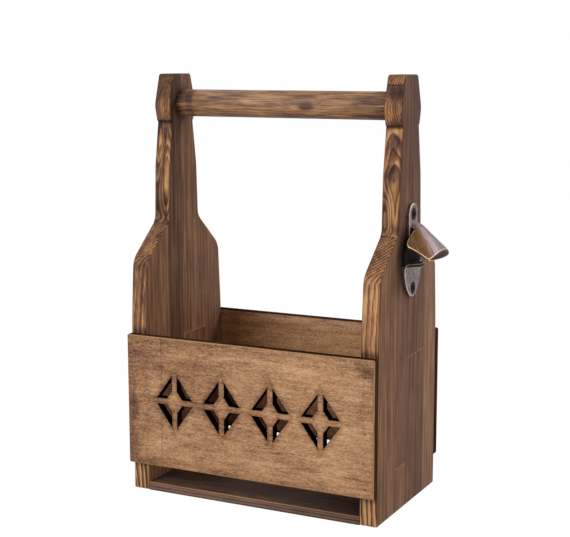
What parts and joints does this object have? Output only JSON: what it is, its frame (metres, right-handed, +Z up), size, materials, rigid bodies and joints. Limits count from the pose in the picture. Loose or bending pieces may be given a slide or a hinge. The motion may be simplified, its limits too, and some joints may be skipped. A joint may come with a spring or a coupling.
{
  "type": "bottle caddy",
  "caption": "Wooden bottle caddy: shaped side boards, round handle, panelled tray with a stencil-cut front, and a cast bottle opener at its end.",
  "frame": {"origin": "centre of the underside, midway between the side boards and between their front and back edges", "axes": "+X towards the end that carries the opener, +Y from the stencil-cut front to the back, +Z up"},
  "size_m": [0.2815, 0.157, 0.39],
  "materials": {
    "stained_pine": "brushed pine, walnut stain, scorched and rubbed edges, satin oil",
    "oiled_dowel": "turned pine dowel, golden brown stain, satin oil",
    "dark_plywood": "stained plywood, matt",
    "birch_plywood": "birch plywood, light walnut stain, scorched cut edges, satin oil",
    "steel_brads": "dark oxidised steel",
    "antique_bronze": "antique bronze casting, rubbed bright on its edges",
    "black_screws": "black lacquered screw heads"
  },
  "bodies": {
    "root": {"left_side_board": "stained_pine", "right_side_board": "stained_pine", "handle_dowel": "oiled_dowel", "bottom_board": "dark_plywood", "front_panel": "birch_plywood", "back_panel": "birch_plywood", "front_panel_brads": "steel_brads", "back_panel_brads": "steel_brads", "bottle_opener": "antique_bronze", "opener_screws": "black_screws"}
  },
  "joints": []
}
